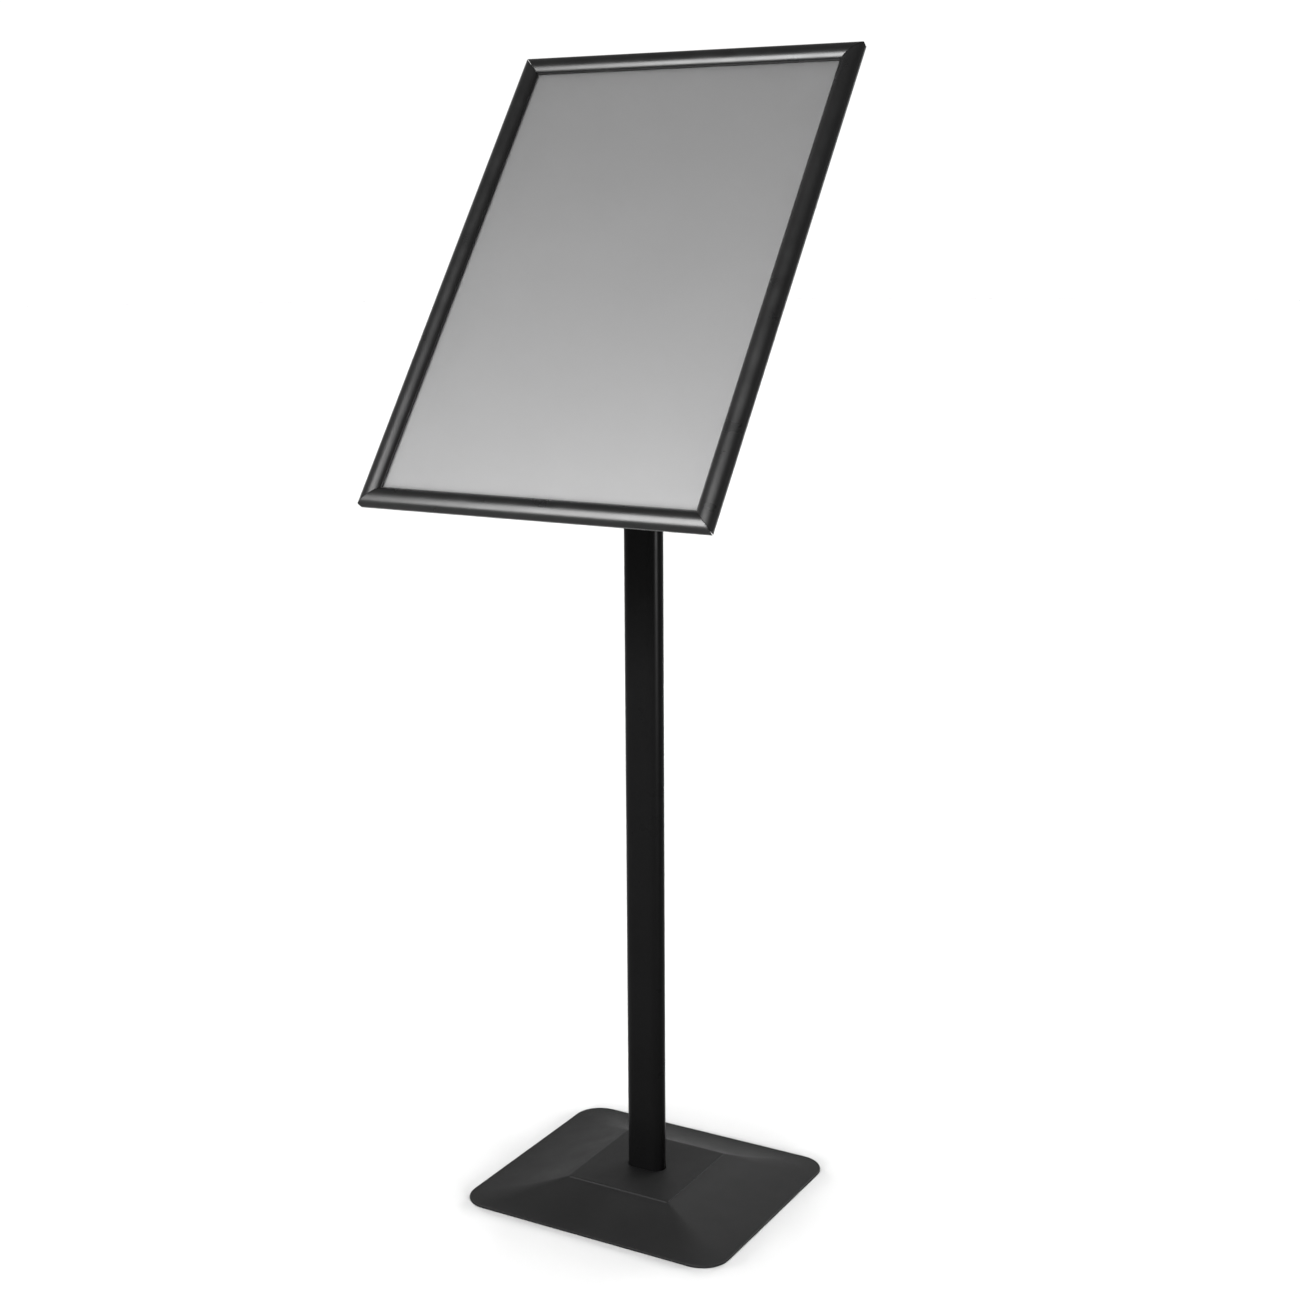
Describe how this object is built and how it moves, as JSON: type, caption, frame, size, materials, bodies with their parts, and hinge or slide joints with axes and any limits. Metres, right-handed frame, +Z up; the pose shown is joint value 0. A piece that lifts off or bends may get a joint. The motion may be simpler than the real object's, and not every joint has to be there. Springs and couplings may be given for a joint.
{
  "type": "sign stand",
  "caption": "Floor-standing poster holder: a snap frame tilted like a lectern on a slim flat-sided post, with a weighted base. The head tilts and each side of the frame hinges open.",
  "frame": {"origin": "the middle of the base's underside, on the floor", "axes": "+Z up, +X the viewer's right when reading the sign, -Y the side the sign faces"},
  "size_m": [0.45, 0.4125, 1.3861],
  "materials": {
    "base_paint": "fine textured powder coat",
    "post_paint": "satin powder coat",
    "frame_black": "satin black powder coat on an extruded profile",
    "bracket_black": "satin black powder coat",
    "raw_steel": "plain",
    "zinc": "zinc plated",
    "spring_steel": "plain",
    "nylon": "matte",
    "panel_grey": "matte",
    "clear_film": "clear, anti-glare"
  },
  "bodies": {
    "base": {"base_cover": "base_paint", "ballast_plate": "raw_steel", "post_foot": "raw_steel", "base_bolt_1": "zinc", "base_bolt_2": "zinc", "base_bolt_3": "zinc", "base_bolt_4": "zinc", "foot_screw_front": "zinc", "foot_screw_back": "zinc", "post": "post_paint", "post_head": "bracket_black", "head_screw_upper": "zinc", "head_screw_lower": "zinc", "pivot_bolt": "zinc", "pivot_nut": "zinc", "steel_washer_left": "zinc", "steel_washer_right": "zinc", "friction_washer_left": "nylon", "friction_washer_right": "nylon"},
    "head": {"tilt_bracket": "bracket_black", "crossbar_upper": "frame_black", "crossbar_lower": "frame_black", "bracket_screw_1": "zinc", "bracket_screw_2": "zinc", "bracket_screw_3": "zinc", "bracket_screw_4": "zinc", "crossbar_screw_1": "zinc", "crossbar_screw_2": "zinc", "crossbar_screw_3": "zinc", "crossbar_screw_4": "zinc", "rail_bottom": "frame_black", "rail_right": "frame_black", "rail_top": "frame_black", "rail_left": "frame_black", "corner_key_bottom_left": "zinc", "corner_key_bottom_right": "zinc", "corner_key_top_right": "zinc", "corner_key_top_left": "zinc", "leaf_spring_bottom_1": "spring_steel", "leaf_spring_bottom_2": "spring_steel", "leaf_spring_right_1": "spring_steel", "leaf_spring_right_2": "spring_steel", "leaf_spring_top_1": "spring_steel", "leaf_spring_top_2": "spring_steel", "leaf_spring_left_1": "spring_steel", "leaf_spring_left_2": "spring_steel", "back_panel": "panel_grey", "front_sheet": "clear_film"},
    "cover_bottom": {"cover_bottom": "frame_black"},
    "cover_right": {"cover_right": "frame_black"},
    "cover_top": {"cover_top": "frame_black"},
    "cover_left": {"cover_left": "frame_black"}
  },
  "joints": [
    {"name": "head_tilt", "type": "hinge", "parent": "base", "child": "head", "pos_m": [0, 0, 1.1], "axis": [1, 0, 0], "range_deg": [-54, 36]},
    {"name": "cover_bottom_hinge", "type": "hinge", "parent": "head", "child": "cover_bottom", "pos_m": [0, -0.25006, 0.88206], "axis": [1, 0, 0], "range_deg": [0, 95]},
    {"name": "cover_right_hinge", "type": "hinge", "parent": "head", "child": "cover_right", "pos_m": [0.2223, -0.06826, 1.13229], "axis": [0, 0.5878, 0.809], "range_deg": [0, 95]},
    {"name": "cover_top_hinge", "type": "hinge", "parent": "head", "child": "cover_top", "pos_m": [0, 0.11354, 1.38252], "axis": [-1, 0, 0], "range_deg": [0, 95]},
    {"name": "cover_left_hinge", "type": "hinge", "parent": "head", "child": "cover_left", "pos_m": [-0.2223, -0.06826, 1.13229], "axis": [0, -0.5878, -0.809], "range_deg": [0, 95]}
  ]
}
